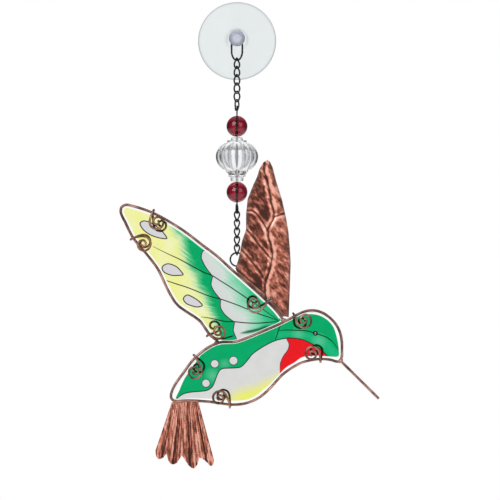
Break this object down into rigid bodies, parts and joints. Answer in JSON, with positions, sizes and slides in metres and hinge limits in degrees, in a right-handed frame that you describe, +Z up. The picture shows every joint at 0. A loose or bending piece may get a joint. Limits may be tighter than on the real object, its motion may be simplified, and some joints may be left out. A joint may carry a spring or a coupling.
{
  "type": "hummingbird window suncatcher",
  "caption": "Hanging window ornament: clear suction cup, curb chain, glass beads and a hummingbird of painted glass in wire frames with an embossed copper rear wing and tail.",
  "frame": {"origin": "centre of the suction cup's flat back, which is pressed against the pane", "axes": "+Y into the window pane, -Y towards the viewer in the room, +X to the viewer's right, +Z up"},
  "size_m": [0.1487, 0.0248, 0.2681],
  "materials": {
    "clear_vinyl": "clear soft vinyl, glossy",
    "dark_wire": "gunmetal plated wire, satin",
    "red_glass": "polished translucent ruby glass",
    "clear_glass": "polished clear ribbed glass",
    "painted_glass": "glass painted in translucent green, yellow, white and red",
    "copper_wire": "brown antiqued copper wire, satin",
    "copper_sheet": "embossed copper sheet with a dark patina in its grooves"
  },
  "bodies": {
    "root": {"suction_cup": "clear_vinyl", "hanging_loop": "dark_wire", "upper_chain_link_1": "dark_wire", "upper_chain_link_2": "dark_wire", "upper_chain_link_3": "dark_wire", "upper_chain_link_4": "dark_wire", "upper_chain_link_5": "dark_wire", "bead_pin": "dark_wire", "red_bead_upper": "red_glass", "crystal_bead": "clear_glass", "red_bead_lower": "red_glass", "lower_chain_link_1": "dark_wire", "lower_chain_link_2": "dark_wire", "lower_chain_link_3": "dark_wire", "lower_chain_link_4": "dark_wire", "lower_chain_link_5": "dark_wire", "hanging_ring": "dark_wire", "wing_frame": "copper_wire", "wing_glass": "painted_glass", "wing_clip_1": "copper_wire", "wing_clip_2": "copper_wire", "wing_clip_3": "copper_wire", "wing_clip_4": "copper_wire", "body_frame": "copper_wire", "beak": "copper_wire", "body_glass": "painted_glass", "body_clip_1": "copper_wire", "body_clip_2": "copper_wire", "body_clip_3": "copper_wire", "body_clip_4": "copper_wire", "rear_wing": "copper_sheet", "tail": "copper_sheet"}
  },
  "joints": []
}
